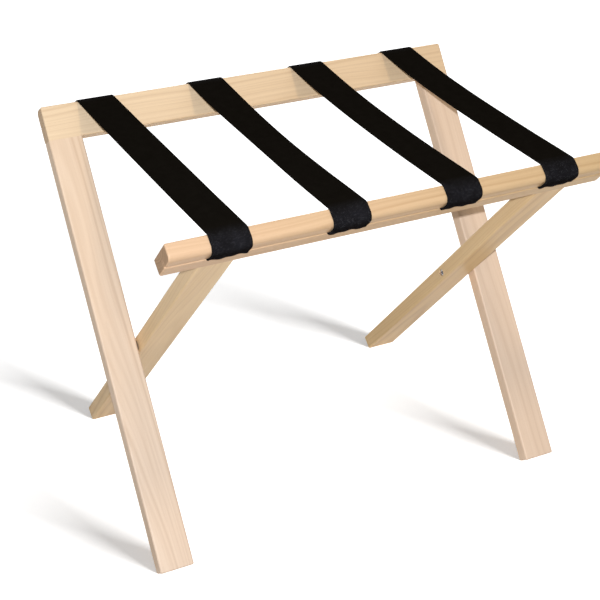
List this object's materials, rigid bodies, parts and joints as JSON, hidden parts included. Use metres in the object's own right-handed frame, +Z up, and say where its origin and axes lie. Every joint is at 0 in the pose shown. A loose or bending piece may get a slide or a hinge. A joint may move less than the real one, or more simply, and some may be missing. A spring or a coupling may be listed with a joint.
{
  "type": "folding luggage rack",
  "caption": "Folding wooden luggage rack: two crossed frames on pivot bolts, with webbing straps between the top rails that carry a suitcase.",
  "frame": {"origin": "on the floor, under the middle of the pivot axis, which is the bottom centre of the bounding box", "axes": "+X along the rails to the right as seen from the front, +Y from the front rail to the rear rail, +Z up"},
  "size_m": [0.6, 0.4176, 0.4852],
  "materials": {
    "leg_wood": "clear satin lacquer, grain along the leg",
    "rail_wood": "clear satin lacquer, grain along the rail",
    "webbing": "woven black webbing",
    "steel": "zinc plated, dull",
    "spacer_plastic": "dark brown nylon",
    "dowel_wood": "bare",
    "strip_wood": "bare"
  },
  "bodies": {
    "outer_frame": {"outer_left_leg": "leg_wood", "outer_right_leg": "leg_wood", "rear_rail": "rail_wood", "outer_frame_dowels": "dowel_wood", "strap_1_rear": "webbing", "strap_2_rear": "webbing", "strap_3_rear": "webbing", "strap_4_rear": "webbing", "rear_retaining_strip": "strip_wood", "pivot_bolt_left": "steel", "pivot_bolt_right": "steel", "pivot_insert_left": "steel", "pivot_insert_right": "steel", "pivot_spacer_left": "spacer_plastic", "pivot_spacer_right": "spacer_plastic"},
    "inner_frame": {"inner_left_leg": "leg_wood", "inner_right_leg": "leg_wood", "front_rail": "rail_wood", "inner_frame_dowels": "dowel_wood", "strap_1_front": "webbing", "strap_2_front": "webbing", "strap_3_front": "webbing", "strap_4_front": "webbing", "front_retaining_strip": "strip_wood"}
  },
  "joints": [
    {"name": "fold", "type": "hinge", "parent": "outer_frame", "child": "inner_frame", "pos_m": [0, 0, 0.22693], "axis": [-1, 0, 0], "range_deg": [0, 72], "deforming": ["strap_1_rear", "strap_2_rear", "strap_3_rear", "strap_4_rear", "strap_1_front", "strap_2_front", "strap_3_front", "strap_4_front"]}
  ]
}
